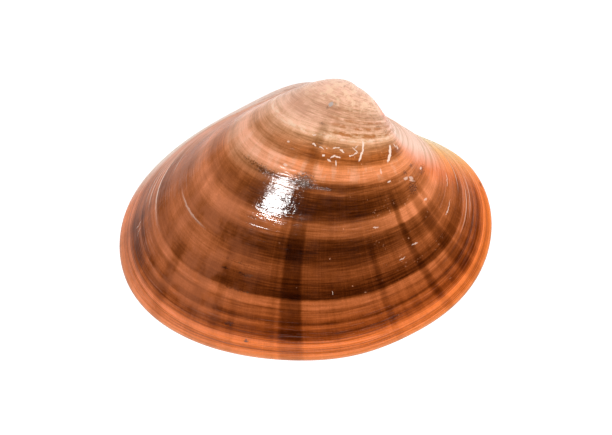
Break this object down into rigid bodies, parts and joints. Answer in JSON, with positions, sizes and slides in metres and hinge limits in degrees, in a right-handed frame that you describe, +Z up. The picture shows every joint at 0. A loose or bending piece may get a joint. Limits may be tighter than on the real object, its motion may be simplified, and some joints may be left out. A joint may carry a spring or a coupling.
{
  "type": "clam shell valve",
  "caption": "One convex valve of a smooth clam with a flat rim, a hollow inside and a toothed hinge plate; it rests on its rim.",
  "frame": {"origin": "centre of the bounding box, on the plane of the rim that the shell rests on", "axes": "+X along the shell towards its front end, +Y across it towards the beak and hinge, +Z up from the rim towards the crown"},
  "size_m": [0.0786, 0.0598, 0.0189],
  "materials": {
    "shell": "glossy natural shell, tan with brown growth bands"
  },
  "bodies": {
    "root": {"valve": "shell"}
  },
  "joints": []
}
